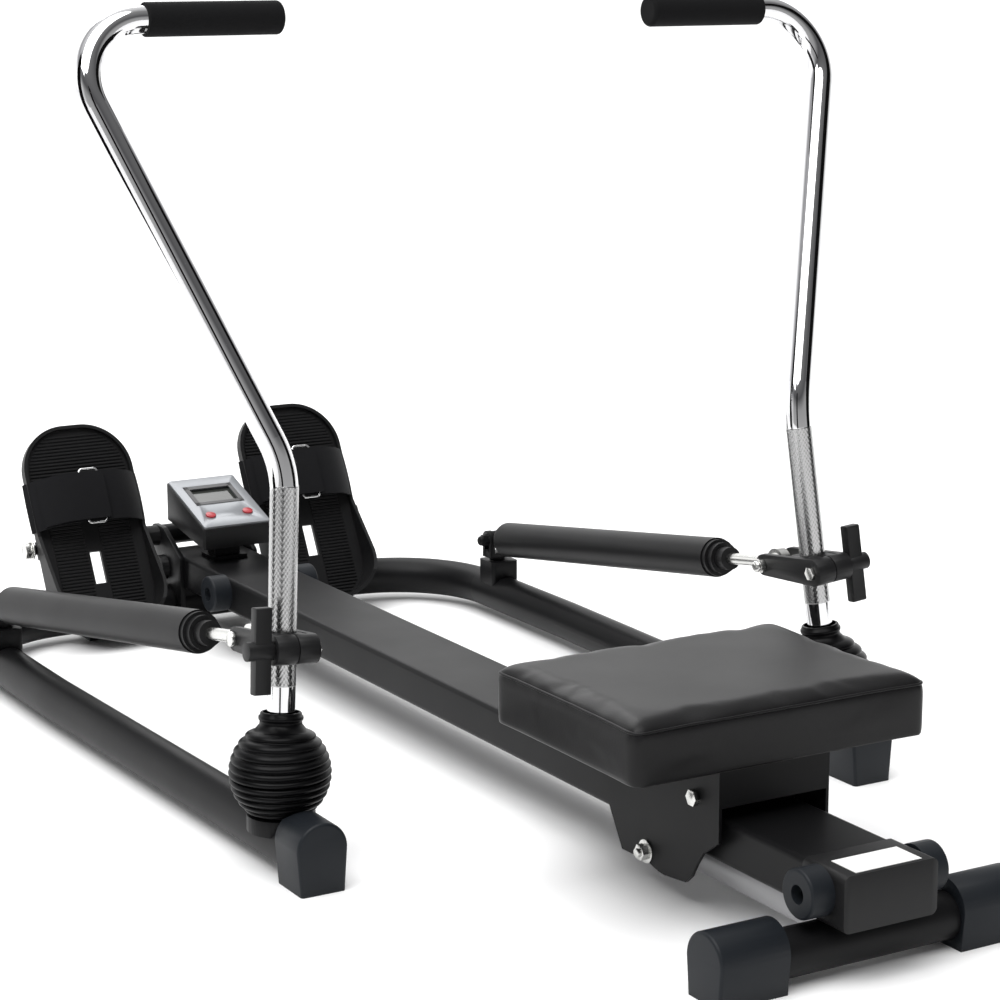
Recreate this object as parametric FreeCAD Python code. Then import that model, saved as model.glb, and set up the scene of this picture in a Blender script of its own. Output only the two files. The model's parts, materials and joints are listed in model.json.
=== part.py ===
import FreeCAD, Part
import math
import os

# Rowing machine with two hydraulic arms: all lengths in millimetres.
# Frame: origin on the floor below the middle of the whole machine, +Z up, +Y towards the footplates, X across.
V = FreeCAD.Vector
OY = 302.108           # distance from the rear faces of the side-leg caps to the origin, along Y

# ---- driving dimensions -------------------------------------------------
LEG_R = 22.25         # side frame tube outer radius
LEG_WALL = 2.0
LEG_Z = 30.0          # tube axis height
LEG_X = 319.5         # half width of the frame at the front
LEG_X_REAR = 302.0    # half width of the frame at the rear ends
FRONT_BEND_Y = 792.0  # where the front bend starts
FRONT_BEND_R = 130.0
RAIL_W = 90.0
RAIL_H = 40.0
RAIL_TOP = 93.0
RAIL_REAR = -398.0
RAIL_FRONT = 938.0
CROSS_Y = -365.0
CROSS_Z = 25.5
CROSS_R = 20.4
BUMPER_R = 21.0
BUMPER_Y = (-371.0, 768.0)
BUMPER_Z = 75.0
PLATE_X = 57.0        # carriage side plate outer face
ROLLER_R = 15.0
SEAT_W = 309.0
SEAT_D = 232.0
SEAT_T = 52.0
SEAT_Y = -148.0
SEAT_Z = 143.5
PIV = V(303.5, 81.0, 88.0)       # arm pivot, right side
ARM_R = 12.7
ARM_WALL = 1.6
ARM_B1 = V(280.2, 107.8, 361.0)  # lower bend of the arm
ARM_B2 = V(423.0, 263.0, 746.0)  # upper bend of the arm
ARM_R1 = 100.0
ARM_R2 = 60.0
GRIP_IN = 202.0
GRIP_OUT = 336.0
GRIP_R = 15.5
CLAMP_Z = 202.0
PIN_Y = 57.7          # clamp pin ahead of the arm axis
EYE_R = 15.0
EYE_BORE = 11.0
PIN_R = 4.0
FRONT_PIV = V(317.2, 760.0, 97.8)
CYL_R = 21.0
ROD_R = 6.0
PED_X = 141.0
PED_Y = 952.0
PED_Z = 108.0
PED_TILT = 28.0       # footplate lean from the vertical, degrees
PED_W = 137.0
BELL_R = 49.0

os.makedirs("parts", exist_ok=True)
out = {}


def save(name, *shapes):
    s = shapes[0] if len(shapes) == 1 else Part.makeCompound(list(shapes))
    s = s.copy()
    s.translate(V(0, -OY, 0))
    s.exportStep("parts/" + name + ".step")
    bb = s.BoundBox
    print(name, len(s.Solids), "valid" if s.isValid() else "INVALID", round(s.Volume / 1000.0, 1),
          [round(v, 1) for v in (bb.XMin, bb.XMax, bb.YMin, bb.YMax, bb.ZMin, bb.ZMax)])
    out[name] = s


def mir(s):
    return s.mirror(V(0, 0, 0), V(1, 0, 0))


def sides(name, *shapes):
    save(name + "_right", *shapes)
    save(name + "_left", *[mir(s) for s in shapes])


def box(x0, x1, y0, y1, z0, z1):
    return Part.makeBox(x1 - x0, y1 - y0, z1 - z0, V(x0, y0, z0))


def cyl(r, p, d, length):
    return Part.makeCylinder(r, length, p, d)


def cylx(r, x0, x1, y, z):
    return Part.makeCylinder(r, x1 - x0, V(x0, y, z), V(1, 0, 0))


def cylz(r, x, y, z0, z1):
    return Part.makeCylinder(r, z1 - z0, V(x, y, z0), V(0, 0, 1))


def hexx(af, x0, x1, y, z):
    r = af / math.sqrt(3)
    pts = [V(x0, y + r * math.cos(math.radians(60 * i)), z + r * math.sin(math.radians(60 * i))) for i in range(7)]
    return Part.Face(Part.makePolygon(pts)).extrude(V(x1 - x0, 0, 0))


def fillet(s, r, test):
    es = [e for e in s.Edges if test(e)]
    try:
        f = s.makeFillet(r, es)
        return f if f.isValid() else s
    except Exception:
        return s


def along(axis):
    def t(e):
        if len(e.Vertexes) < 2:
            return False
        d = e.Vertexes[1].Point.sub(e.Vertexes[0].Point)
        return d.Length > 1e-6 and abs(d.normalize().dot(axis)) > 0.99
    return t


def solid_path(pts, radii, r):
    """Round bar along straight runs joined by arcs of the given radii."""
    segs = []
    start = pts[0]
    for i in range(1, len(pts)):
        d = pts[i].sub(pts[i - 1])
        d.normalize()
        if i < len(pts) - 1:
            e = pts[i + 1].sub(pts[i])
            e.normalize()
            turn = math.acos(max(-1, min(1, d.dot(e))))
            t = radii[i - 1] * math.tan(turn / 2)
            a = pts[i].sub(V(d).multiply(t))
            b = pts[i].add(V(e).multiply(t))
            segs.append(Part.makeCylinder(r, a.sub(start).Length, start, d))
            n = d.cross(e)
            n.normalize()
            c = a.add(n.cross(d).multiply(radii[i - 1]))
            face = Part.Face(Part.Wire(Part.makeCircle(r, a, d)))
            segs.append(face.revolve(c, n, math.degrees(turn)))
            start = b
        else:
            segs.append(Part.makeCylinder(r, pts[i].sub(start).Length, start, d))
    s = segs[0]
    for q in segs[1:]:
        s = s.fuse(q)
    return s.removeSplitter()


def tube_path(pts, radii, r, wall):
    return solid_path(pts, radii, r).cut(solid_path(pts, radii, r - wall))


# ---- front frame: one bent tube, open to the rear ------------------------
fpts = [V(-LEG_X_REAR, 8, LEG_Z), V(-LEG_X, 600, LEG_Z), V(-LEG_X, FRONT_BEND_Y + FRONT_BEND_R, LEG_Z),
        V(LEG_X, FRONT_BEND_Y + FRONT_BEND_R, LEG_Z), V(LEG_X, 600, LEG_Z), V(LEG_X_REAR, 8, LEG_Z)]
save("front_frame_tube", tube_path(fpts, [600, FRONT_BEND_R, FRONT_BEND_R, 600], LEG_R, LEG_WALL))
FY = FRONT_BEND_Y + FRONT_BEND_R   # axis of the front run
leg_dir = V(LEG_X_REAR - LEG_X, 8 - 600, 0)
leg_dir.normalize()


def leg_x(y):
    return LEG_X_REAR + (y - 8) * (LEG_X - LEG_X_REAR) / 592.0


def leg_solid(r):
    a = V(LEG_X, 600, LEG_Z)
    b = V(LEG_X_REAR, 8, LEG_Z)
    return cyl(r, a, leg_dir, b.sub(a).Length + 1).fuse(cyl(r, V(LEG_X, 600, LEG_Z), V(0, 1, 0), 200))


# D-shaped rubber cap: round top, flat base
def d_cap(width, height, length):
    r = width / 2.0
    zc = height - r
    prof = Part.Wire([
        Part.LineSegment(V(-r, 0, zc), V(-r + 3, 0, 0)).toShape(),
        Part.LineSegment(V(-r + 3, 0, 0), V(r - 3, 0, 0)).toShape(),
        Part.LineSegment(V(r - 3, 0, 0), V(r, 0, zc)).toShape(),
        Part.Arc(V(r, 0, zc), V(0, 0, height), V(-r, 0, zc)).toShape()])
    return Part.Face(prof).extrude(V(0, length, 0))


cap = d_cap(49.0, 65.0, 46.0)
cap = fillet(cap, 3.0, lambda e: all(abs(v.Point.y) < 1e-6 for v in e.Vertexes) and max(v.Point.z for v in e.Vertexes) > 1)
cap.translate(V(LEG_X_REAR, 0, 0))
cap_r = cap.cut(leg_solid(LEG_R)).cut(Part.makeSphere(BELL_R + 0.5, V(PIV.x, PIV.y, 90.0)))
save("leg_cap_rubber", cap_r, mir(cap_r))

# ---- rear cross foot -------------------------------------------------------
cross = cylx(CROSS_R, -146, 146, CROSS_Y, CROSS_Z)
cross_core = cylx(CROSS_R - 2, -147, 147, CROSS_Y, CROSS_Z)
save("rear_crossbar", cross.cut(cross_core))
rc = d_cap(50.0, 58.0, 66.0)
rc = fillet(rc, 3.0, lambda e: all(abs(v.Point.y) < 1e-6 for v in e.Vertexes) and max(v.Point.z for v in e.Vertexes) > 1)
rc.rotate(V(0, 0, 0), V(0, 0, 1), -90)         # now runs towards -X ... closed face at x = 0
rc = rc if rc.BoundBox.XMax > 1 else rc
rcb = rc.BoundBox
rc.translate(V(0, CROSS_Y, 0))
if rcb.XMin < -1:                                # closed face must be the outer one, at +X
    rc.translate(V(154, 0, 0))
else:
    rc = mir(rc)
    rc.translate(V(154, 0, 0))
rc = rc.cut(cylx(CROSS_R, 80, 146, CROSS_Y, CROSS_Z))
save("rear_cap_rubber", rc, mir(rc))
STRUT_R = 20.4
STRUT_Z = RAIL_TOP - RAIL_H - STRUT_R
strut = cyl(STRUT_R, V(0, CROSS_Y + 8, STRUT_Z), V(0, 1, 0), 225)
strut = strut.cut(cyl(STRUT_R - 2, V(0, CROSS_Y + 12, STRUT_Z), V(0, 1, 0), 217))
strut = strut.cut(cylx(CROSS_R, -100, 100, CROSS_Y, CROSS_Z))
save("rear_strut_tube", strut)

# ---- rail ------------------------------------------------------------------
rail = box(-RAIL_W / 2, RAIL_W / 2, RAIL_REAR, RAIL_FRONT, RAIL_TOP - RAIL_H, RAIL_TOP)
rail = fillet(rail, 5.0, along(V(0, 1, 0)))
rail_out = rail.copy()
rail_in = box(-RAIL_W / 2 + 2, RAIL_W / 2 - 2, RAIL_REAR - 1, RAIL_FRONT + 1, RAIL_TOP - RAIL_H + 2, RAIL_TOP - 2)
rail = rail.cut(rail_in)
for y in BUMPER_Y:
    rail = rail.cut(cylx(4.0, -60, 60, y, BUMPER_Z))
save("rail_tube", rail)
endc = box(-47, 47, RAIL_REAR - 5, -348, RAIL_TOP - 46, RAIL_TOP + 2)
endc = fillet(endc, 6.0, along(V(0, 1, 0)))
endc = endc.cut(rail_out).cut(cyl(STRUT_R, V(0, CROSS_Y, STRUT_Z), V(0, 1, 0), 240))
endc = endc.cut(cylx(4.0, -60, 60, BUMPER_Y[0], BUMPER_Z))
save("rail_end_cover", endc)
save("label_plate", box(-33, 33, RAIL_REAR - 1, RAIL_REAR + 31, RAIL_TOP + 2, RAIL_TOP + 2.5))
plug = box(-RAIL_W / 2 + 2, RAIL_W / 2 - 2, RAIL_FRONT - 14, RAIL_FRONT, RAIL_TOP - RAIL_H + 2, RAIL_TOP - 2)
plug = plug.fuse(box(-44, 44, RAIL_FRONT, RAIL_FRONT + 3, RAIL_TOP - RAIL_H + 1, RAIL_TOP - 1))
save("rail_front_plug", plug)
bumps = []
bolts = []
for y in BUMPER_Y:
    for s in (1, -1):
        x0 = 45 if y > 0 else 47
        b = cylx(BUMPER_R, x0, x0 + 22, y, BUMPER_Z)
        b = fillet(b, 2.5, lambda e: e.BoundBox.XMin > 60)
        b = b.cut(cylx(8, 55, 70, y, BUMPER_Z)).cut(cylx(4.0, 44, 56, y, BUMPER_Z))
        b = b.cut(endc.copy()) if y < 0 else b
        k = cylx(4, 41, 55, y, BUMPER_Z).fuse(hexx(11, 55, 59, y, BUMPER_Z)).fuse(cylx(7, 39, 43, y, BUMPER_Z))
        bumps.append(b if s > 0 else mir(b))
        bolts.append(k if s > 0 else mir(k))
save("rubber_bumpers", *bumps)
save("frame_bolts", *[b for b in bolts[:4]])

# ---- front bracket: rail to tube, and axle carrier ---------------------------
TUBE_F = cylx(LEG_R, -150, 150, FY, LEG_Z)
br = box(-40, 40, FY - 20, FY + 20, 40, 52.95).cut(TUBE_F)
for s in (-1, 1):
    lug = Part.Face(Part.makePolygon([V(0, 884, 30), V(0, 884, 92), V(0, 934, 121), V(0, 966, 121), V(0, 966, 96), V(0, 940, 60), V(0, 940, 30),
                                      V(0, 884, 30)])).extrude(V(6, 0, 0))
    lug = fillet(lug, 6, lambda e: along(V(1, 0, 0))(e) and e.BoundBox.ZMin > 80)
    lug.translate(V(45 if s > 0 else -51, 0, 0))
    br = br.fuse(lug.cut(TUBE_F)).fuse(cylx(15, 51 if s > 0 else -60, 60 if s > 0 else -51, 930, 73))
    br = br.fuse(box(40 if s > 0 else -51, 51 if s > 0 else -40, FY - 20, FY + 18, 46, 52.95).cut(TUBE_F))
br = br.fuse(cylx(12.5, -67, 67, PED_Y, PED_Z)).cut(cylx(6.0, -80, 80, PED_Y, PED_Z)).removeSplitter()
save("pedal_bracket", br)
axle = cylx(6.0, -216, 216, PED_Y, PED_Z)
nuts = [hexx(17, 213, 221, PED_Y, PED_Z).cut(cylx(6, 210, 216, PED_Y, PED_Z)),
        cylx(12, 211, 213, PED_Y, PED_Z).cut(cylx(6, 200, 230, PED_Y, PED_Z)),
        hexx(17, 67, 73, PED_Y, PED_Z).cut(cylx(6, 60, 80, PED_Y, PED_Z))]
save("pedal_axle", axle, *(nuts + [mir(n) for n in nuts]))
pads = []
for s in (1, -1):
    pd = box(120, 160, FY - 16, FY + 16, 0, 26).cut(cylx(LEG_R, 90, 180, FY, LEG_Z))
    pads.append(pd if s > 0 else mir(pd))
save("front_foot_pads", *pads)

# ---- console -----------------------------------------------------------------
CT = math.radians(19.0)
cy0, cz0, cl, cw, ch = 826.0, 137.0, 116.0, 88.0, 26.0


def con(s):
    """From console face coordinates: x across, y up the face, z out of it."""
    s = s.copy()
    s.rotate(V(0, 0, 0), V(1, 0, 0), math.degrees(CT))
    s.translate(V(0, cy0, cz0))
    return s


prof = Part.makePolygon([V(-cw / 2, cy0, cz0 - 24), V(-cw / 2, cy0, cz0 - 0.0),
                         V(-cw / 2, cy0 + cl * math.cos(CT), cz0 + cl * math.sin(CT)),
                         V(-cw / 2, cy0 + cl * math.cos(CT), cz0 + cl * math.sin(CT) - 44), V(-cw / 2, cy0, cz0 - 24)])
case = Part.Face(prof).extrude(V(cw, 0, 0))
case = fillet(case, 3.0, lambda e: e.Length > 20 and e.BoundBox.ZLength > 20 and e.BoundBox.YLength < 1)
pocket = con(box(-35, 35, 10, 106, -20, 1))
btn_x, btn_y = 24.0, 27.0
case = case.cut(pocket)
save("console_case", case)
face = con(box(-cw / 2 + 1.5, cw / 2 - 1.5, 1.5, cl - 1.5, 0, 3.0))
face = fillet(face, 3.0, lambda e: 2.5 < e.Length < 3.5)
win = con(box(-27, 27, 56, 92, -2, 5))
face = face.cut(win)
for s in (-1, 1):
    face = face.cut(con(cylz(6.3, s * btn_x, btn_y, -2, 5)))
save("console_face", face)
save("console_display", con(box(-30, 30, 53, 95, -3, 0)))
for s, n in ((-1, "left"), (1, "right")):
    save("button_" + n, con(cylz(6.0, s * btn_x, btn_y, -2.5, 4.6)))
cb = box(-22, 22, 850, 885, RAIL_TOP, RAIL_TOP + 4).fuse(box(-16, 16, 858, 880, RAIL_TOP, 160))
cb = cb.cut(case).cut(con(box(-60, 60, -20, 140, -20.0, 60)))
cb = max(cb.Solids, key=lambda q: q.Volume)
low = Part.Face(Part.makePolygon([V(-60, cy0 - 40, cz0 - 24 - 40 * (44 - 24 - cl * math.sin(CT)) / (-cl * math.cos(CT))),
                                  V(-60, cy0 + cl, cz0 + 60), V(-60, cy0 - 40, cz0 + 90),
                                  V(-60, cy0 - 40, cz0 - 24 - 40 * (44 - 24 - cl * math.sin(CT)) / (-cl * math.cos(CT)))])).extrude(V(120, 0, 0))
save("console_bracket", cb)

# ---- carriage and seat ----------------------------------------------------------
poly = [(-52, 141), (-74, 69), (-99, 28), (-141, 29), (-149, 26.5), (-157, 25), (-166, 24.5), (-175, 25.5), (-198, 28),
        (-207, 36), (-214, 48), (-224, 62), (-246, 77), (-246, 141)]


def plate(x0, x1, pts):
    w = Part.makePolygon([V(x0, y, z) for y, z in pts] + [V(x0, pts[0][0], pts[0][1])])
    return Part.Face(w).extrude(V(x1 - x0, 0, 0))


AX_R = (-212.0, RAIL_TOP + ROLLER_R + 0.2)
AX_F = (-102.0, RAIL_TOP + ROLLER_R + 0.2)
AX_L = (-138.0, RAIL_TOP - RAIL_H - ROLLER_R - 0.2)
frm = plate(54, 57, poly).fuse(plate(-57, -54, poly))
frm = frm.fuse(box(-57, 57, -246, -52, 138, 141)).fuse(box(-57, 57, -246, -243, 107, 141)).fuse(box(-54, 54, -66, -63, 112, 141))
for y, z in (AX_R, AX_F, AX_L):
    frm = frm.cut(cylx(4.0, -80, 80, y, z))
frm = frm.removeSplitter()
save("carriage_frame", frm)
hard = []
for y, z in (AX_R, AX_F):
    hard.append(cylx(4.0, -57, 57, y, z).fuse(hexx(13, -62.5, -57, y, z)).fuse(hexx(13, 57, 62.5, y, z)))
for s in (1, -1):
    y, z = AX_L
    b = cylx(4.0, 25, 68, y, z).fuse(cylx(10.5, 57, 58.6, y, z)).fuse(hexx(13, 58.6, 65, y, z)).fuse(cylx(8, 47, 54, y, z))
    hard.append(b if s > 0 else mir(b))
save("carriage_bolts", *hard)
for n, (y, z) in (("rear", AX_R), ("front", AX_F)):
    r = cylx(ROLLER_R, -40, 40, y, z).cut(cylx(ROLLER_R + 2, -22, 22, y, z)).fuse(cylx(8.5, -40, 40, y, z)).cut(cylx(4.05, -50, 50, y, z))
    save("roller_top_" + n, r)
for s, n in ((-1, "left"), (1, "right")):
    r = cylx(ROLLER_R, 27, 42.5, *AX_L).cut(cylx(4.05, 20, 60, *AX_L))
    save("roller_low_" + n, r if s > 0 else mir(r))
board = box(-SEAT_W / 2 + 12, SEAT_W / 2 - 12, SEAT_Y - SEAT_D / 2 + 12, SEAT_Y + SEAT_D / 2 - 12, 141, 149)
board = fillet(board, 12.0, along(V(0, 0, 1)))
save("seat_board", board)
pad = box(-SEAT_W / 2, SEAT_W / 2, SEAT_Y - SEAT_D / 2, SEAT_Y + SEAT_D / 2, SEAT_Z, SEAT_Z + SEAT_T)
pad = fillet(pad, 13.0, along(V(0, 0, 1)))
pad = fillet(pad, 6.0, lambda e: e.BoundBox.ZLength < 0.01)
pad = pad.cut(board)
save("seat_cushion", pad)

# ---- arm pivot (right side; the left is its mirror image) -------------------------
sad = cylz(31, PIV.x, PIV.y, 38, 52.6).cut(leg_solid(LEG_R))
sad = max(sad.Solids, key=lambda q: q.Volume) if len(sad.Solids) > 1 else sad
brk = sad.fuse(box(PIV.x - 20, PIV.x + 20, PIV.y - 11, PIV.y + 11, 50, 57).cut(leg_solid(LEG_R)))
for s in (-1, 1):
    x0 = PIV.x + (16 if s > 0 else -20)
    ear = box(x0, x0 + 4, PIV.y - 11, PIV.y + 11, 54, PIV.z).fuse(cylx(11, x0, x0 + 4, PIV.y, PIV.z))
    brk = brk.fuse(ear)
brk = brk.cut(cylx(5.05, PIV.x - 30, PIV.x + 30, PIV.y, PIV.z)).removeSplitter()
sides("pivot_bracket", brk)
kn = box(PIV.x - 9, PIV.x + 9, PIV.y - 9, PIV.y + 9, PIV.z - 9, PIV.z + 9)
kn = kn.fuse(cylx(5, PIV.x - 22, PIV.x + 22, PIV.y, PIV.z)).fuse(cyl(5, V(PIV.x, PIV.y - 22, PIV.z), V(0, 1, 0), 44))
sides("knuckle_cross", kn.removeSplitter())
R1 = BELL_R
gen = []
zb, zt = 52.9, 128.0
c = V(PIV.x, PIV.y, 90.0)


def bell(r, z0, z1):
    p0 = V(c.x + math.sqrt(r * r - (z0 - c.z) ** 2), c.y, z0)
    p1 = V(c.x + math.sqrt(r * r - (z1 - c.z) ** 2), c.y, z1)
    m = V(c.x + r, c.y, c.z)
    w = Part.Wire([Part.LineSegment(V(c.x, c.y, z0), p0).toShape(), Part.Arc(p0, m, p1).toShape(),
                   Part.LineSegment(p1, V(c.x, c.y, z1)).toShape(), Part.LineSegment(V(c.x, c.y, z1), V(c.x, c.y, z0)).toShape()])
    return Part.Face(w).revolve(V(c.x, c.y, 0), V(0, 0, 1), 360)


bdir = ARM_B1.sub(PIV)
bdir.normalize()
bl = bell(BELL_R, zb, zt).fuse(cyl(19.5, PIV.add(V(bdir).multiply(36)), bdir, 20))
bl = bl.cut(bell(BELL_R - 3, zb - 1.0, zt - 3)).cut(cyl(13.3, PIV.add(V(bdir).multiply(10)), bdir, 60))
bl = max(bl.Solids, key=lambda q: q.Volume)
bl = bl.removeSplitter()
sides("bellows_boot", bl)

# ---- arm -----------------------------------------------------------------------
adir = ARM_B1.sub(PIV)
adir.normalize()
a0 = PIV.add(V(adir).multiply(26.0))
apts = [a0, ARM_B1, ARM_B2, V(GRIP_IN + 6, ARM_B2.y, ARM_B2.z)]
arm = tube_path(apts, [ARM_R1, ARM_R2], ARM_R, ARM_WALL)
yk = box(-11, 11, -20, 20, 20, 27)
for s in (-1, 1):
    y0 = 16 if s > 0 else -20
    yk = yk.fuse(box(-11, 11, y0, y0 + 4, 0, 24)).fuse(cyl(11, V(0, y0, 0), V(0, 1, 0), 4))
yk = yk.cut(cyl(5.05, V(0, -30, 0), V(0, 1, 0), 60))
yk = yk.removeSplitter()
yk.translate(PIV)
plugb = cyl(ARM_R - ARM_WALL, PIV.add(V(adir).multiply(24)), adir, 20)
yoke = yk.fuse(plugb).cut(arm).removeSplitter()
yoke = max(yoke.Solids, key=lambda q: q.Volume)
arm = arm.cut(yk)
sides("arm_tube", arm, yoke)
gy, gz = ARM_B2.y, ARM_B2.z
grip = cylx(GRIP_R, GRIP_IN, GRIP_OUT, gy, gz)
grip = fillet(grip, 4.0, lambda e: e.BoundBox.XMax < GRIP_IN + 1)
grip = fillet(grip, 1.5, lambda e: e.BoundBox.XMin > GRIP_OUT - 1)
grip = grip.cut(cylx(ARM_R, GRIP_IN + 6, GRIP_OUT + 1, gy, gz))
sides("foam_grip", grip)

# ---- height clamp on the arm, in its own frame: x across, z along the arm -----------
AC = PIV.add(V(adir).multiply((CLAMP_Z - PIV.z) / adir.z))
xp = V(1, 0, 0).sub(V(adir).multiply(adir.x))
xp.normalize()
yp = adir.cross(xp)
M = FreeCAD.Matrix(xp.x, yp.x, adir.x, AC.x, xp.y, yp.y, adir.y, AC.y, xp.z, yp.z, adir.z, AC.z, 0, 0, 0, 1)


def cl_(s):
    return s.transformGeometry(M) if False else s.transformShape(M) or s


def place(s):
    s = s.copy()
    s.Placement = FreeCAD.Placement(M).multiply(s.Placement)
    return s


BY = -24.0
cheek_pts = [(BY, -13.5), (PIN_Y, -11.0), (PIN_Y, 11.0), (BY, 13.5)]


def cheek(x0, x1):
    w = Part.makePolygon([V(x0, y, z) for y, z in cheek_pts] + [V(x0, *cheek_pts[0])])
    p = Part.Face(w).extrude(V(x1 - x0, 0, 0))
    return p.fuse(cylx(11, x0, x1, PIN_Y, 0)).fuse(cylx(13.5, x0, x1, BY, 0))


halves = []
for s in (-1, 1):
    h = cheek(14.5, 20.5).fuse(cylx(13.5, 0.5, 20.5, BY, 0)).fuse(box(0.5, 15, BY, 17, -12.5, 12.5))
    if s < 0:
        h = mir(h)
    h = h.cut(cylz(ARM_R, 0, 0, -40, 40)).cut(cylx(4.0, -40, 40, BY, 0)).cut(cylx(PIN_R, -40, 40, PIN_Y, 0))
    halves.append(place(h.removeSplitter()))
sides("clamp_halves", *halves)
acorn = hexx(13, -27, -20.5, PIN_Y, 0).fuse(cylx(6.0, -32, -27, PIN_Y, 0))
acorn = fillet(acorn, 3.5, lambda e: e.BoundBox.XMax < -31.5)
pin = cylx(PIN_R, -20.5, 20.5, PIN_Y, 0).fuse(acorn).fuse(cylx(6.8, 20.5, 25, PIN_Y, 0))
tbolt = cylx(4.0, -20.5, 38, BY, 0).fuse(hexx(12, -24.5, -20.5, BY, 0))
sides("clamp_bolts", place(pin.removeSplitter()), place(tbolt.removeSplitter()))
tk = cylx(8.5, 21.5, 46, BY, 0).fuse(fillet(box(24, 39, BY - 5.5, BY + 5.5, -38.5, 38.5), 2.0, along(V(1, 0, 0))))
tk = tk.cut(cylx(4.06, 20, 38.1, BY, 0)).removeSplitter()
sides("clamp_t_knob", place(tk))
KN = AC.add(V(yp).multiply(BY))

# ---- hydraulic cylinder ------------------------------------------------------------
Q = AC.add(V(yp).multiply(PIN_Y))
E0 = Q.add(V(0.03, -0.09, -1.71))         # centre of the slack eye at rest
cdir = E0.sub(FRONT_PIV)
clen = cdir.Length
cdir.normalize()
bl_ = cyl(CYL_R, FRONT_PIV.add(V(cdir).multiply(27)), cdir, 474)
bl_ = fillet(bl_, 5.0, lambda e: len(e.Vertexes) == 1 and e.BoundBox.YMin > 700)
bl_ = bl_.cut(cyl(CYL_R - 2.5, FRONT_PIV.add(V(cdir).multiply(36)), cdir, 470))
lug = cyl(13.5, FRONT_PIV.add(V(cdir).multiply(14)), cdir, 13).fuse(cylx(10.5, FRONT_PIV.x - 8, FRONT_PIV.x + 8, FRONT_PIV.y, FRONT_PIV.z))
lugb = box(-8, 8, 0, 16, -10.0, 10.0)
lugb.Placement = FreeCAD.Placement(FRONT_PIV, FreeCAD.Rotation(V(0, 1, 0), cdir)).multiply(lugb.Placement)
lug = lug.fuse(lugb).cut(cylx(4.05, FRONT_PIV.x - 20, FRONT_PIV.x + 20, FRONT_PIV.y, FRONT_PIV.z))
lug = lug.cut(cylx(30, FRONT_PIV.x + 8, FRONT_PIV.x + 40, FRONT_PIV.y, FRONT_PIV.z)).cut(cylx(30, FRONT_PIV.x - 40, FRONT_PIV.x - 8, FRONT_PIV.y, FRONT_PIV.z))
lug = lug.cut(cyl(CYL_R, FRONT_PIV.add(V(cdir).multiply(27)), cdir, 40)).removeSplitter()
lug = max(lug.Solids, key=lambda q: q.Volume)
sides("cylinder_body", bl_, lug)
gl = cyl(CYL_R - 1.5, FRONT_PIV.add(V(cdir).multiply(501)), cdir, 6).fuse(cyl(16.5, FRONT_PIV.add(V(cdir).multiply(501)), cdir, 14))
gl = gl.fuse(cyl(12, FRONT_PIV.add(V(cdir).multiply(501)), cdir, 27)).fuse(cyl(CYL_R - 2.5, FRONT_PIV.add(V(cdir).multiply(490)), cdir, 12))
gl = gl.cut(cyl(ROD_R + 0.06, FRONT_PIV.add(V(cdir).multiply(480)), cdir, 60)).removeSplitter()
sides("cylinder_gland", gl)
rod = cyl(ROD_R, FRONT_PIV.add(V(cdir).multiply(340)), cdir, clen - 340 - EYE_R + 3)
rod = rod.fuse(cyl(CYL_R - 2.8, FRONT_PIV.add(V(cdir).multiply(328)), cdir, 14))
eye = cylx(EYE_R, E0.x - 5, E0.x + 5, E0.y, E0.z).cut(cylx(EYE_BORE, E0.x - 9, E0.x + 9, E0.y, E0.z))
rod = rod.cut(cylx(EYE_BORE + 1, E0.x - 9, E0.x + 9, E0.y, E0.z)).fuse(eye).removeSplitter()
sides("piston_rod", rod)

# ---- front swivel of the cylinder --------------------------------------------------
FP = FRONT_PIV
mt = box(FP.x - 16, FP.x + 20, FP.y - 18, FP.y + 18, 40, 72).cut(leg_solid(LEG_R))
mt = max(mt.Solids, key=lambda q: q.BoundBox.ZMax)
mt = fillet(mt, 5.0, along(V(0, 0, 1)))
mt = mt.cut(cylz(5.05, FP.x, FP.y, 53, 80))
sides("cylinder_mount", mt)
sw = cylz(5.0, FP.x, FP.y, 55, 74).fuse(cylz(9.5, FP.x, FP.y, 72.4, 77)).fuse(box(FP.x - 14.5, FP.x + 14.5, FP.y - 10, FP.y + 10, 76, 82))
for s in (-1, 1):
    x0 = FP.x + (8.5 if s > 0 else -14.5)
    sw = sw.fuse(box(x0, x0 + 6, FP.y - 10, FP.y + 10, 76, FP.z)).fuse(cylx(11.5, x0, x0 + 6, FP.y, FP.z))
sw = sw.cut(cylx(4.0, FP.x - 30, FP.x + 30, FP.y, FP.z)).removeSplitter()
fpin = cylx(4.0, FP.x - 14.5, FP.x + 14.5, FP.y, FP.z).fuse(hexx(13, FP.x - 21, FP.x - 14.5, FP.y, FP.z)).fuse(
    fillet(cylx(6, FP.x - 26, FP.x - 21, FP.y, FP.z), 3.5, lambda e: e.BoundBox.XMax < FP.x - 25.5)).fuse(cylx(7, FP.x + 14.5, FP.x + 18, FP.y, FP.z))
sides("cylinder_swivel", sw, fpin.removeSplitter())

# ---- footplates ---------------------------------------------------------------------
PT = math.radians(PED_TILT)


def ped(s):
    """From footplate coordinates: x across, y away from the user, z up the plate; axle at the origin."""
    s = s.copy()
    s.rotate(V(0, 0, 0), V(1, 0, 0), -math.degrees(PT))
    s.translate(V(PED_X, PED_Y, PED_Z))
    return s


HW = PED_W / 2.0
top_u, bot_u = 143.0, -122.0
PN = 13.5            # back face of the plate, ahead of the axle


def outline(hw, u0, u1, y0, y1):
    rt, rb = 58.0 - (HW - hw), 62.0 - (HW - hw)
    sh = box(-hw, hw, y0, y1, u0, u1)
    sh = fillet(sh, rt, lambda e: along(V(0, 1, 0))(e) and e.BoundBox.ZMin > 0)
    sh = fillet(sh, rb, lambda e: along(V(0, 1, 0))(e) and e.BoundBox.ZMax < 0)
    return sh


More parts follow.
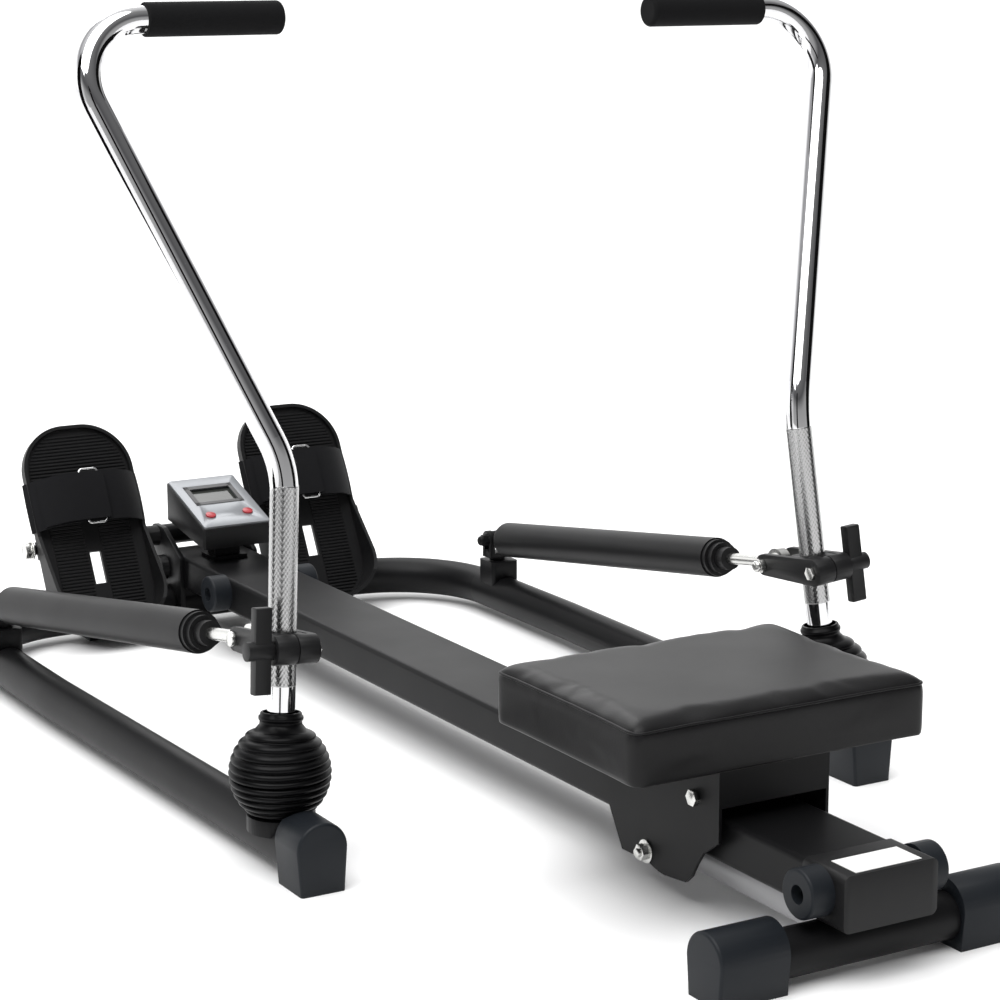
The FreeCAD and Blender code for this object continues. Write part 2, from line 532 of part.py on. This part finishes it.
sole = outline(HW, bot_u, top_u, -PN - 5, -PN)
rim = outline(HW, bot_u, top_u, -PN - 11, -PN).cut(outline(HW - 4, bot_u + 4, top_u - 4, -PN - 20, -5))
wedge = Part.Face(Part.makePolygon([V(-100, -PN - 50, bot_u - 20), V(-100, -PN - 46, -92), V(-100, -PN - 10, 12), V(-100, -PN - 2, 12), V(-100, -PN - 2, bot_u - 20), V(-100, -PN - 50, bot_u - 20)])).extrude(V(200, 0, 0))
cup = outline(HW, bot_u, top_u, -PN - 46, -PN).cut(outline(HW - 4, bot_u + 4, top_u - 4, -PN - 60, -5)).common(wedge)
fp = sole.fuse(rim).fuse(cup)
for s in (-1, 1):
    fp = fp.fuse(box(s * 57 - 5, s * 57 + 5, -PN - 1, 9, -11, 11)).fuse(box(s * 25 - 4, s * 25 + 4, -PN - 1, 9, -11, 11))
fp = fp.cut(cylx(6.05, -100, 100, 0, 0))
fp = fp.cut(box(-7, 7, -40, 5, -55, -15)).removeSplitter()
sides("footplate", ped(fp))
# strap over the foot: a flat band standing off the plate, folded down to each rim
st0, st1 = 15.0, 76.0
SN = PN + 34.0
band = box(-HW - 2.5, HW + 2.5, -SN, -PN, st0, st1)
band = fillet(band, 16, lambda e: along(V(0, 0, 1))(e) and e.BoundBox.YMax < -SN + 4)
inn = box(-HW, HW, -SN + 2.5, -PN + 5, st0 - 5, st1 + 5)
inn = fillet(inn, 13.5, lambda e: along(V(0, 0, 1))(e) and e.BoundBox.YMax < -SN + 6)
band = band.cut(inn)
sides("foot_strap", ped(band))
RN = -SN - 1.5
rg = solid_path([V(0, RN, st0 - 3), V(11, RN, st0 - 3), V(11, RN, st1 + 3), V(-11, RN, st1 + 3), V(-11, RN, st0 - 3), V(0.01, RN, st0 - 3)], [4, 4, 4, 4], 1.5)
sides("strap_ring", ped(rg))

bb = Part.makeCompound(list(out.values())).BoundBox
print("nodes", len(out), "bbox", [round(v, 2) for v in (bb.XMin, bb.XMax, bb.YMin, bb.YMax, bb.ZMin, bb.ZMax)], "y centre", round((bb.YMin + bb.YMax) / 2, 3))
print("E0", E0, "Q", Q, "cdir", cdir, "clen", clen, "KN", KN, "xp", xp)
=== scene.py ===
import json
import math

import bpy
import bmesh
import numpy as np
from mathutils import Vector, Matrix
from mathutils.bvhtree import BVHTree


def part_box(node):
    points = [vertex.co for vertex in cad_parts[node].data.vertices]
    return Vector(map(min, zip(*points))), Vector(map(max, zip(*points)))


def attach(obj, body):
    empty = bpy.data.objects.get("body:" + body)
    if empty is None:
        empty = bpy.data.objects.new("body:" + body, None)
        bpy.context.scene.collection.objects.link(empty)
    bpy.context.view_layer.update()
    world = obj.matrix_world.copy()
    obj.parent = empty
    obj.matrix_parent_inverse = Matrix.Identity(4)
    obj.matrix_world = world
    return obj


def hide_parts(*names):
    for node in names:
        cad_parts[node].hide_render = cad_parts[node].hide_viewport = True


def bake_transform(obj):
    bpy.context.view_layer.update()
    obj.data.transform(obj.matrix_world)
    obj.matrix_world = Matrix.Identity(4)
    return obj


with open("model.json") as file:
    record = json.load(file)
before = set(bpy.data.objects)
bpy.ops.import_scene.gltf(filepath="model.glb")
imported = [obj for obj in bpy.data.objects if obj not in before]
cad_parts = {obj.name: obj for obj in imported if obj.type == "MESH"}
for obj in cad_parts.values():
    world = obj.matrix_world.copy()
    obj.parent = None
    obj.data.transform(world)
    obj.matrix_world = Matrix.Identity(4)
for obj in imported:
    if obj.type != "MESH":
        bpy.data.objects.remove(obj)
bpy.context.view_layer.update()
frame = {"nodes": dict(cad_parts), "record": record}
N = frame["nodes"]
OY = 0.302108
scene = bpy.context.scene
SIDES = (("right", 1.0), ("left", -1.0))

# ------------------------------------------------------------------ camera
th, ph, ro = math.radians(30.33), math.radians(11.96), math.radians(-0.15)
fwd = Vector((math.sin(th) * math.cos(ph), math.cos(th) * math.cos(ph), -math.sin(ph)))
right = Vector((math.cos(th), -math.sin(th), 0))
up = right.cross(fwd)
r2 = math.cos(ro) * right + math.sin(ro) * up
u2 = -math.sin(ro) * right + math.cos(ro) * up
cam_data = bpy.data.cameras.new("camera")
cam = bpy.data.objects.new("camera", cam_data)
scene.collection.objects.link(cam)
m = Matrix((r2, u2, -fwd)).transposed().to_4x4()
m.translation = Vector((-1.25545, -1.93545 - OY, 0.8075))
cam.matrix_world = m
cam_data.sensor_width = 36.0
cam_data.lens = 93.78
cam_data.clip_end = 500
scene.camera = cam


# --------------------------------------------------------------- materials
def mat(name, color, rough, metallic=0.0, spec=0.5, coat=0.0, coat_rough=0.1, bump=None, sheen=0.0, var=0.0):
    """bump is (scale in 1/m, strength, distance in metres)."""
    mt = bpy.data.materials.new(name)
    mt.use_nodes = True
    nt = mt.node_tree
    b = nt.nodes["Principled BSDF"]
    b.inputs["Base Color"].default_value = (*color, 1)
    b.inputs["Roughness"].default_value = rough
    b.inputs["Metallic"].default_value = metallic
    b.inputs["Specular IOR Level"].default_value = spec
    b.inputs["Coat Weight"].default_value = coat
    b.inputs["Coat Roughness"].default_value = coat_rough
    b.inputs["Sheen Weight"].default_value = sheen
    if bump or var:
        tc = nt.nodes.new("ShaderNodeTexCoord")
    if bump:
        no = nt.nodes.new("ShaderNodeTexNoise")
        no.inputs["Scale"].default_value = bump[0]
        no.inputs["Detail"].default_value = 3
        bp = nt.nodes.new("ShaderNodeBump")
        bp.inputs["Strength"].default_value = bump[1]
        bp.inputs["Distance"].default_value = bump[2]
        nt.links.new(tc.outputs["Object"], no.inputs["Vector"])
        nt.links.new(no.outputs["Fac"], bp.inputs["Height"])
        nt.links.new(bp.outputs["Normal"], b.inputs["Normal"])
    if var:
        n2 = nt.nodes.new("ShaderNodeTexNoise")
        n2.inputs["Scale"].default_value = 14
        n2.inputs["Detail"].default_value = 4
        rp = nt.nodes.new("ShaderNodeMapRange")
        rp.inputs["To Min"].default_value = max(0.0, rough - var)
        rp.inputs["To Max"].default_value = min(1.0, rough + var)
        nt.links.new(tc.outputs["Object"], n2.inputs["Vector"])
        nt.links.new(n2.outputs["Fac"], rp.inputs["Value"])
        nt.links.new(rp.outputs["Result"], b.inputs["Roughness"])
    return mt


M = {
    "black_steel": mat("m_black_steel", (0.0055, 0.0055, 0.006), 0.42, spec=0.14, bump=(1400, 0.12, 0.0002), var=0.05),
    "grey_steel": mat("m_grey_steel", (0.42, 0.42, 0.43), 0.42, metallic=0.3),
    "rubber": mat("m_rubber", (0.0085, 0.0105, 0.0135), 0.48, spec=0.20, bump=(900, 0.15, 0.0002)),
    "zinc": mat("m_zinc", (0.66, 0.66, 0.64), 0.24, metallic=1.0),
    "black_plastic": mat("m_black_plastic", (0.0080, 0.0080, 0.0085), 0.46, spec=0.22, bump=(1800, 0.12, 0.00015)),
    "white_label": mat("m_label", (0.82, 0.82, 0.81), 0.35),
    "console_grey": mat("m_console_grey", (0.25, 0.26, 0.275), 0.32, metallic=0.35),
    "display": mat("m_display", (0.035, 0.038, 0.035), 0.15, spec=0.5),
    "red_plastic": mat("m_red", (0.36, 0.018, 0.026), 0.3),
    "board": mat("m_board", (0.02, 0.018, 0.016), 0.6),
    "vinyl": mat("m_vinyl", (0.0060, 0.0058, 0.0062), 0.40, spec=0.20, bump=(650, 0.30, 0.0003), var=0.05),
    "bellows_rubber": mat("m_bellows", (0.0022, 0.0022, 0.0025), 0.32, spec=0.10),
    "chrome": mat("m_chrome", (0.74, 0.74, 0.75), 0.05, metallic=1.0),
    "foam": mat("m_foam", (0.0055, 0.0055, 0.006), 0.8, spec=0.12, bump=(1100, 0.5, 0.0006)),
    "webbing": mat("m_webbing", (0.0055, 0.0055, 0.0065), 0.8, spec=0.12, sheen=0.05, bump=(1500, 0.5, 0.0004)),
    "wire": mat("m_wire", (0.78, 0.78, 0.78), 0.14, metallic=1.0),
    "knurl": mat("m_knurl", (0.44, 0.44, 0.44), 0.22, metallic=1.0),
    "dark_trim": mat("m_dark_trim", (0.02, 0.02, 0.022), 0.35),
}
node_slot = {s["node"]: s["material_slot"] for s in frame["record"]["subparts"]}
for name, o in N.items():
    mt = M[node_slot[name]]
    if len(o.data.materials) == 0:
        o.data.materials.append(mt)
    for i in range(len(o.data.materials)):
        o.data.materials[i] = mt
    if not name.startswith("carriage_frame"):
        o.data.shade_smooth()
        o.data.set_sharp_from_angle(angle=math.radians(35))

# fine edge rounding on the hard-edged solids
for pre, w in (("rail_end_cover", 0.0008), ("console_case", 0.0015), ("clamp_halves", 0.0008), ("clamp_t_knob", 0.0012),
               ("pivot_bracket", 0.0006), ("cylinder_mount", 0.0008), ("cylinder_swivel", 0.0006), ("pedal_bracket", 0.0008), ("leg_cap", 0.0012),
               ("rear_cap", 0.0012), ("console_face", 0.0006), ("frame_bolts", 0.0004), ("carriage_bolts", 0.0004), ("clamp_bolts", 0.0004),
               ("pedal_axle", 0.0004), ("button", 0.0008)):
    for name, o in N.items():
        if name.startswith(pre):
            wm = o.modifiers.new("weld", "WELD")
            wm.merge_threshold = 0.00001
            bv = o.modifiers.new("bevel", "BEVEL")
            bv.width = w
            bv.segments = 2
            bv.limit_method = "ANGLE"
            bv.angle_limit = math.radians(40)
            bv.harden_normals = True


# ------------------------------------------------------------------- tools
def obj_from(name, verts, faces, material, smooth=True, angle=None):
    me = bpy.data.meshes.new(name)
    me.from_pydata([tuple(v) for v in verts], [], faces)
    me.update()
    bm = bmesh.new()
    bm.from_mesh(me)
    bmesh.ops.recalc_face_normals(bm, faces=bm.faces)
    bm.to_mesh(me)
    bm.free()
    me.materials.append(material)
    if smooth:
        me.shade_smooth()
        if angle:
            me.set_sharp_from_angle(angle=math.radians(angle))
    o = bpy.data.objects.new(name, me)
    scene.collection.objects.link(o)
    return o


def revolve_rows(name, rows, seg, material, close_ends=False, angle=None, closed=False):
    """rows is a list of (centre, unit u, unit v, radius or list of radii): one ring each."""
    verts, faces = [], []
    for c, u, v, r in rows:
        for i in range(seg):
            a = 2 * math.pi * i / seg
            rr = r[i] if hasattr(r, "__len__") else r
            verts.append(c + (u * math.cos(a) + v * math.sin(a)) * rr)
    n = len(rows)
    for j in range(n if closed else n - 1):
        k = (j + 1) % n
        for i in range(seg):
            i2 = (i + 1) % seg
            faces.append((j * seg + i, j * seg + i2, k * seg + i2, k * seg + i))
    if close_ends:
        faces.append(tuple(range(seg))[::-1])
        faces.append(tuple((n - 1) * seg + i for i in range(seg)))
    return obj_from(name, verts, faces, material, angle=angle)


def sweep(name, pts, radius, material, closed=False, seg=10):
    """A round bar along the points."""
    pts = [Vector(p) for p in pts]
    n = len(pts)
    rows = []
    prev = None
    for i in range(n):
        if closed:
            t = pts[(i + 1) % n] - pts[i - 1]
        else:
            t = pts[min(i + 1, n - 1)] - pts[max(i - 1, 0)]
        t.normalize()
        if prev is None:
            a = Vector((0, 0, 1)) if abs(t.z) < 0.9 else Vector((1, 0, 0))
            u = t.cross(a).normalized()
        else:
            u = (prev - t * prev.dot(t)).normalized()
        prev = u
        rows.append((pts[i], u, t.cross(u), radius))
    return revolve_rows(name, rows, seg, material, close_ends=not closed, closed=closed)


def box_obj(name, lo, hi, matrix, material, bevel=0.0):
    vs = [matrix @ Vector((x, y, z)) for x in (lo[0], hi[0]) for y in (lo[1], hi[1]) for z in (lo[2], hi[2])]
    fs = [(0, 1, 3, 2), (4, 6, 7, 5), (0, 4, 5, 1), (2, 3, 7, 6), (0, 2, 6, 4), (1, 5, 7, 3)]
    return obj_from(name, vs, fs, material, smooth=False)


def join(name, objs):
    me = bpy.data.meshes.new(name)
    bm = bmesh.new()
    for o in objs:
        bm.from_mesh(o.data)
    bm.to_mesh(me)
    bm.free()
    me.materials.append(objs[0].data.materials[0])
    for p in me.polygons:
        p.material_index = 0
    out = bpy.data.objects.new(name, me)
    scene.collection.objects.link(out)
    for o in objs:
        bpy.data.objects.remove(o)
    return out


P = {s: Vector((k * 0.3035, 0.081 - OY, 0.088)) for s, k in SIDES}
ADIR = Vector((280.2 - 303.5, 107.8 - 81.0, 361.0 - 88.0)).normalized()

# ----------------------------------------------------------------- bellows
RIBS = 11
for s, k in SIDES:
    a = Vector((ADIR.x * k, ADIR.y, ADIR.z))
    p = P[s]
    c0 = Vector((p.x, p.y, 0.090))
    X, Y, Z = Vector((1, 0, 0)), Vector((0, 1, 0)), Vector((0, 0, 1))

    def ring(z):
        w = min(1.0, max(0.0, (z - 0.100) / 0.030))
        w = w * w * (3 - 2 * w)
        ax = (Z * (1 - w) + a * w).normalized()
        on_arm = p + a * ((z - p.z) / a.z)
        c = Vector((p.x, p.y, z)) * (1 - w) + on_arm * w
        u = (X - ax * X.dot(ax)).normalized()
        return c, u, ax.cross(u)

    def rad(z):
        base = math.sqrt(max(0.0, 0.0462 ** 2 - (z - 0.090) ** 2))
        ph_ = (z - 0.0532) / (0.128 - 0.0532) * RIBS
        f = abs(math.sin(math.pi * ph_)) ** 0.55
        return base - 0.0042 * (1 - f)

    def shell(name, z0, z1, extra):
        n = max(8, int(round((z1 - z0) / 0.00055)))
        outer = [(*ring(z0 + (z1 - z0) * i / n), rad(z0 + (z1 - z0) * i / n)) for i in range(n + 1)] + extra
        inner = [(c, u, v, r - 0.0016) for c, u, v, r in reversed(outer)]
        return revolve_rows(name, outer + inner, 72, M["bellows_rubber"], closed=True)

    zm = 0.0532 + (0.128 - 0.0532) * 5 / 11.0
    low = shell("bellows_lower_" + s, 0.0532, zm, [])
    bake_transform(low)
    extra = []
    s0 = (0.128 - p.z) / a.z
    u = (X - a * X.dot(a)).normalized()
    v = a.cross(u)
    for ds, r in ((0.0005, 0.0290), (0.0020, 0.0235), (0.0035, 0.0205), (0.005, 0.0192), (0.0085, 0.0190), (0.0088, 0.0200), (0.0105, 0.0203),
                  (0.0122, 0.0200), (0.0125, 0.0188), (0.0150, 0.0186), (0.0158, 0.0178)):
        extra.append((p + a * (s0 + ds), u, v, r))
    top = shell("bellows_upper_" + s, zm, 0.1278, extra[2:])
    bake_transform(top)
    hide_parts("bellows_boot_" + s)
    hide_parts("bellows_boot_" + s)

# ------------------------------------------------------------- knurled part
for s, k in SIDES:
    a = Vector((ADIR.x * k, ADIR.y, ADIR.z))
    p = P[s]
    X = Vector((1, 0, 0))
    u = (X - a * X.dot(a)).normalized()
    v = a.cross(u)
    s0, s1 = (0.167 - p.z) / a.z, (0.343 - p.z) / a.z
    n, seg = 300, 96
    rows = []
    for j in range(n + 1):
        t = s0 + (s1 - s0) * j / n
        rr = []
        for i in range(seg):
            ang = 2 * math.pi * i / seg
            q1 = 24 * ang + (t / 0.0127) * 24 * 0.62
            q2 = 24 * ang - (t / 0.0127) * 24 * 0.62
            rr.append(0.0127 + 0.00022 * (0.5 + 0.25 * (math.cos(q1) + math.cos(q2))))
        rows.append((p + a * t, u, v, rr))
    e0 = (p + a * (s0 - 0.0004), u, v, 0.0125)
    e1 = (p + a * (s1 + 0.0004), u, v, 0.0125)
    kn = revolve_rows("knurl_" + s, [e0] + rows + [e1], seg, M["knurl"])
    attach(kn, "arm_" + s)

# --------------------------------------------------------------- footplates
TILT = math.radians(28.0)
PN = 0.0135


def ped_matrix(k):
    return Matrix.Translation(Vector((k * 0.141, 0.952 - OY, 0.108))) @ Matrix.Rotation(-TILT, 4, "X")


HW = 0.0685
for s, k in SIDES:
    Mx = ped_matrix(k)
    ribs = []
    yf = -PN - 0.005

    def half(u):
        rt, rb = 0.054, 0.058
        top_c, bot_c = 0.139 - rt, -0.118 + rb
        w = HW - 0.004
        if u > top_c:
            d = u - top_c
            return w - rt + math.sqrt(max(0, rt * rt - d * d))
        if u < bot_c:
            d = bot_c - u
            return w - rb + math.sqrt(max(0, rb * rb - d * d))
        return w
    uu = -0.106
    i = 0
    while uu < 0.130:
        h = min(half(uu), half(uu + 0.0024)) - 0.004
        spans = [(-h, h)]
        if uu < 0.030:
            h = min(h, 0.0500)
            spans = [(-h, -0.0105), (0.0105, h)]
        for x0, x1 in spans:
            if x1 - x0 > 0.01:
                y1 = yf + 0.0002
                y0 = yf - 0.0016
                prof = [(y1, uu), (y0 + 0.0004, uu), (y0, uu + 0.0005), (y0, uu + 0.0019), (y0 + 0.0004, uu + 0.0024), (y1, uu + 0.0024)]
                vs = [Mx @ Vector((x, y, z)) for x in (x0, x1) for y, z in prof]
                m6 = len(prof)
                fs = [tuple(range(m6))[::-1], tuple(range(m6, 2 * m6))]
                for q in range(m6):
                    q2 = (q + 1) % m6
                    fs.append((q, q2, m6 + q2, m6 + q))
                ribs.append(obj_from("rib", vs, fs, M["black_plastic"], smooth=False))
        uu += 0.0042
        i += 1
    rb_ = join("footplate_ribs_" + s, ribs)
    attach(rb_, "pedal_" + s)

    # strap: one arched band with a second layer folded back through the wire ring
    def strap_curve(lift, x0, x1, n):
        pts = []
        for i in range(n + 1):
            x = x0 + (x1 - x0) * i / n
            t = abs(x) / 0.0706
            hgt = 0.0475 - 0.0475 * 0.0 - (0.0475 - 0.0160) * (t ** 3.4)
            pts.append((x, -(hgt + lift)))
        return pts

    def band(name, pts, z0, z1, thick, bulge=0.0):
        vs, fs = [], []
        m_ = 8
        n = len(pts)
        for layer in (0, 1):
            for i, (x, y) in enumerate(pts):
                pa, pb = pts[max(0, i - 1)], pts[min(n - 1, i + 1)]
                tx, ty = pb[0] - pa[0], pb[1] - pa[1]
                L = math.hypot(tx, ty)
                nx, ny = ty / L, -tx / L
                for j in range(m_ + 1):
                    z = z0 + (z1 - z0) * j / m_
                    g = bulge * (1 - (2 * j / m_ - 1) ** 2)
                    off = (thick if layer else 0.0) + g
                    vs.append(Mx @ Vector((x + nx * off, y + ny * off, z)))
        W = m_ + 1

        def id_(layer, i, j):
            return layer * n * W + i * W + j
        for layer in (0, 1):
            for i in range(n - 1):
                for j in range(m_):
                    fs.append((id_(layer, i, j), id_(layer, i + 1, j), id_(layer, i + 1, j + 1), id_(layer, i, j + 1)))
        for i in range(n - 1):
            fs.append((id_(0, i, 0), id_(1, i, 0), id_(1, i + 1, 0), id_(0, i + 1, 0)))
            fs.append((id_(0, i, m_), id_(0, i + 1, m_), id_(1, i + 1, m_), id_(1, i, m_)))
        for j in range(m_):
            fs.append((id_(0, 0, j), id_(0, 0, j + 1), id_(1, 0, j + 1), id_(1, 0, j)))
            fs.append((id_(0, n - 1, j), id_(1, n - 1, j), id_(1, n - 1, j + 1), id_(0, n - 1, j + 1)))
        return obj_from(name, vs, fs, M["webbing"], angle=40)

    c1 = strap_curve(0.0, -0.0706, 0.0706, 64)
    b1 = band("foot_strap_band_" + s, c1, 0.015, 0.076, 0.0018, 0.0010)
    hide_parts("foot_strap_" + s)
    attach(b1, "pedal_" + s)
    c2 = strap_curve(0.0052, -0.060, 0.0165, 40)
    b2 = band("foot_strap_flap_" + s, c2, 0.0165, 0.0745, 0.0016, 0.0008)
    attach(b2, "pedal_" + s)

# ------------------------------------------------------------------ console
CT = math.radians(19.0)
CM = Matrix.Translation(Vector((0, 0.826 - OY, 0.137))) @ Matrix.Rotation(CT, 4, "X")
fr = []
for lo, hi in (((-0.0310, 0.0520, 0.003), (-0.0255, 0.0960, 0.0036)), ((0.0255, 0.0520, 0.003), (0.0310, 0.0960, 0.0036)),
               ((-0.0310, 0.0520, 0.003), (0.0310, 0.0575, 0.0036)), ((-0.0310, 0.0890, 0.003), (0.0310, 0.0960, 0.0036))):
    fr.append(box_obj("fr", lo, hi, CM, M["dark_trim"]))
lcd = join("display_frame", fr)
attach(lcd, "base")

# --------------------------------------------------------------------- seat
lo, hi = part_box("seat_cushion")
SHRINK = 0.0
x0, x1, y0, y1, z0, z1 = lo[0] + SHRINK, hi[0] - SHRINK, lo[1] + SHRINK, hi[1] - SHRINK, lo[2] + 0.0004, hi[2] - 0.002


def rounded_outline(x0, x1, y0, y1, r, n=10):
    pts = []
    for cx, cy, a0 in ((x1 - r, y1 - r, 0), (x0 + r, y1 - r, 90), (x0 + r, y0 + r, 180), (x1 - r, y0 + r, 270)):
        for i in range(n + 1):
            a = math.radians(a0 + 90 * i / n)
            pts.append((cx + r * math.cos(a), cy + r * math.sin(a)))
    return pts


prof = [(0.0, z0), (0.0, z0 + 0.004), (0.0, z1 - 0.010), (0.0012, z1 - 0.005), (0.0045, z1 - 0.0015), (0.010, z1)]
verts, faces = [], []
rings = []
for ins, z in prof:
    o_ = rounded_outline(x0 + ins, x1 - ins, y0 + ins, y1 - ins, 0.0115 - ins, 8)
    rings.append(len(verts))
    verts += [(x, y, z) for x, y in o_]
cnt = len(o_)
for j in range(len(prof) - 1):
    for i in range(cnt):
        i2 = (i + 1) % cnt
        faces.append((rings[j] + i, rings[j] + i2, rings[j + 1] + i2, rings[j + 1] + i))
faces.append(tuple(range(cnt))[::-1])
faces.append(tuple(rings[-1] + i for i in range(cnt)))
seat = obj_from("seat_pad", verts, faces, M["vinyl"])
rm = seat.modifiers.new("remesh", "REMESH")
rm.mode = "VOXEL"
rm.voxel_size = 0.005
bpy.context.view_layer.objects.active = seat
for o in bpy.context.selected_objects:
    o.select_set(False)
seat.select_set(True)
bpy.ops.object.modifier_apply(modifier=rm.name)
rest = np.array([v.co for v in seat.data.vertices])
cl = seat.modifiers.new("cloth", "CLOTH")
st = cl.settings
st.quality = 5
st.mass = 0.3
st.tension_stiffness = 15
st.compression_stiffness = 15
st.shear_stiffness = 5
st.bending_stiffness = 0.5
st.use_pressure = True
st.uniform_pressure_force = 4
st.effector_weights.gravity = 0
cl.collision_settings.use_collision = False
for f_ in range(1, 21):
    scene.frame_set(f_)
dg = bpy.context.evaluated_depsgraph_get()
ev = seat.evaluated_get(dg)
got = np.array([v.co for v in ev.data.vertices])
seat.modifiers.remove(cl)
scene.frame_set(1)
d = got - rest
L = np.linalg.norm(d, axis=1)
cap_m = 0.0045
f_ = np.where(L > cap_m, cap_m / np.maximum(L, 1e-9), 1.0)
new = rest + d * f_[:, None]
# slight crown toward the middle, and a flat underside
cx, cy = (x0 + x1) / 2, (y0 + y1) / 2
rx, ry = (x1 - x0) / 2, (y1 - y0) / 2
topw = np.clip((rest[:, 2] - (z1 - 0.012)) / 0.012, 0, 1)
crown = 0.0030 * np.clip(1 - ((new[:, 0] - cx) / rx) ** 2, 0, 1) * np.clip(1 - ((new[:, 1] - cy) / ry) ** 2, 0, 1)
new[:, 2] += topw * crown
new[:, 2] = np.where(rest[:, 2] < z0 + 0.004, z0, np.maximum(new[:, 2], z0))
new[:, 2] = np.minimum(new[:, 2], hi[2] + 0.003)
for i, v_ in enumerate(seat.data.vertices):
    v_.co = new[i]
seat.data.update()
sub = seat.modifiers.new("sub", "SUBSURF")
sub.levels = sub.render_levels = 1
bpy.ops.object.modifier_apply(modifier=sub.name)
seat.data.shade_smooth()
if not seat.data.materials:
    seat.data.materials.append(M["vinyl"])
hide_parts("seat_cushion")
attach(seat, "carriage")

# piping round the top edge
bm = bmesh.new()
bm.from_mesh(seat.data)
tree = BVHTree.FromBMesh(bm)
bm.free()
line = []
ol = rounded_outline(x0 - 0.010, x1 + 0.010, y0 - 0.010, y1 + 0.010, 0.0215, 12)
dense = []
for i in range(len(ol)):
    pa, pb = Vector((*ol[i], 0)), Vector((*ol[(i + 1) % len(ol)], 0))
    k_ = max(1, int((pb - pa).length / 0.006))
    for j in range(k_):
        dense.append(pa.lerp(pb, j / k_))
zs = z1 - 0.0045
for q in dense:
    c = Vector((cx, cy, zs))
    inner = Vector((min(max(q.x, x0 + 0.04), x1 - 0.04), min(max(q.y, y0 + 0.04), y1 - 0.04), zs))
    h, nrm, _, _ = tree.ray_cast(Vector((q.x, q.y, zs)), (inner - Vector((q.x, q.y, zs))).normalized())
    if h is not None:
        line.append(h + (Vector((q.x, q.y, zs)) - inner).normalized() * 0.0002)
pip = sweep("seat_piping", line, 0.0013, M["vinyl"], closed=True, seg=10)
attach(pip, "carriage")

# ------------------------------------------------------------ floor and light
bpy.ops.mesh.primitive_plane_add(size=400, location=(0, 0, 0))
floor = bpy.context.object
floor.name = "floor"
fm = bpy.data.materials.new("m_floor")
fm.use_nodes = True
fb = fm.node_tree.nodes["Principled BSDF"]
fb.inputs["Base Color"].default_value = (0.93, 0.93, 0.93, 1)
fb.inputs["Roughness"].default_value = 0.9
fb.inputs["Specular IOR Level"].default_value = 0.1
floor.data.materials.append(fm)

w = bpy.data.worlds.new("world")
scene.world = w
w.use_nodes = True
nt = w.node_tree
bg = nt.nodes["Background"]
tc = nt.nodes.new("ShaderNodeTexCoord")
sp = nt.nodes.new("ShaderNodeSeparateXYZ")
cr = nt.nodes.new("ShaderNodeValToRGB")
nt.links.new(tc.outputs["Generated"], sp.inputs[0])
nt.links.new(sp.outputs["Z"], cr.inputs["Fac"])
cr.color_ramp.elements[0].position = 0.0
cr.color_ramp.elements[0].color = (1.45, 1.45, 1.45, 1)
cr.color_ramp.elements[1].position = 1.0
cr.color_ramp.elements[1].color = (1.0, 1.0, 1.0, 1)
e = cr.color_ramp.elements.new(0.30)
e.color = (1.15, 1.15, 1.15, 1)
e = cr.color_ramp.elements.new(0.48)
e.color = (0.30, 0.30, 0.31, 1)
# brighter towards the front end of the machine, darker towards its rear end
mr = nt.nodes.new("ShaderNodeMapRange")
mr.inputs["From Min"].default_value = -0.30
mr.inputs["From Max"].default_value = 0.45
mr.inputs["To Min"].default_value = 0.38
mr.inputs["To Max"].default_value = 1.40
nt.links.new(sp.outputs["Y"], mr.inputs["Value"])
vm = nt.nodes.new("ShaderNodeVectorMath")
vm.operation = "SCALE"
nt.links.new(cr.outputs["Color"], vm.inputs[0])
nt.links.new(mr.outputs["Result"], vm.inputs["Scale"])
nt.links.new(vm.outputs["Vector"], bg.inputs["Color"])
bg.inputs["Strength"].default_value = 0.85


def area(name, loc, target, size, power, size_y=None):
    ld = bpy.data.lights.new(name, "AREA")
    ld.energy = power
    ld.size = size
    if size_y:
        ld.shape = "RECTANGLE"
        ld.size_y = size_y
    o = bpy.data.objects.new(name, ld)
    scene.collection.objects.link(o)
    o.location = loc
    dv = Vector(target) - Vector(loc)
    o.rotation_euler = dv.to_track_quat("-Z", "Y").to_euler()
    return o


area("key", (-2.4, -0.6, 3.4), (0, 0, 0.2), 1.8, 34)
area("back", (0.6, 3.0, 3.0), (0, 0, 0.3), 2.2, 46)
sun_d = bpy.data.lights.new("sun", "SUN")
sun_d.energy = 2.75
sun_d.angle = math.radians(60)
sun = bpy.data.objects.new("sun", sun_d)
scene.collection.objects.link(sun)
sun.rotation_euler = (math.radians(12), math.radians(-14), 0)

# dark studio flags that only glossy surfaces see
fl = bpy.data.materials.new("m_flag")
fl.use_nodes = True
fl.node_tree.nodes["Principled BSDF"].inputs["Base Color"].default_value = (0.004, 0.004, 0.004, 1)
fl.node_tree.nodes["Principled BSDF"].inputs["Specular IOR Level"].default_value = 0.0
for i, (ang, dist, wid) in enumerate(((-28, 2.0, 1.1), (168, 2.0, 0.9), (-128, 2.6, 0.5))):
    a_ = math.radians(ang)
    bpy.ops.mesh.primitive_plane_add(size=1, location=(dist * math.cos(a_), dist * math.sin(a_), 1.1), rotation=(math.radians(90), 0, a_ + math.radians(90)))
    pl = bpy.context.object
    pl.name = "flag_%d" % i
    pl.scale = (wid, 2.2, 1)
    pl.data.materials.append(fl)
    pl.visible_camera = False
    pl.visible_diffuse = False
    pl.visible_shadow = False
    pl.visible_transmission = False
scene.view_settings.view_transform = "Standard"
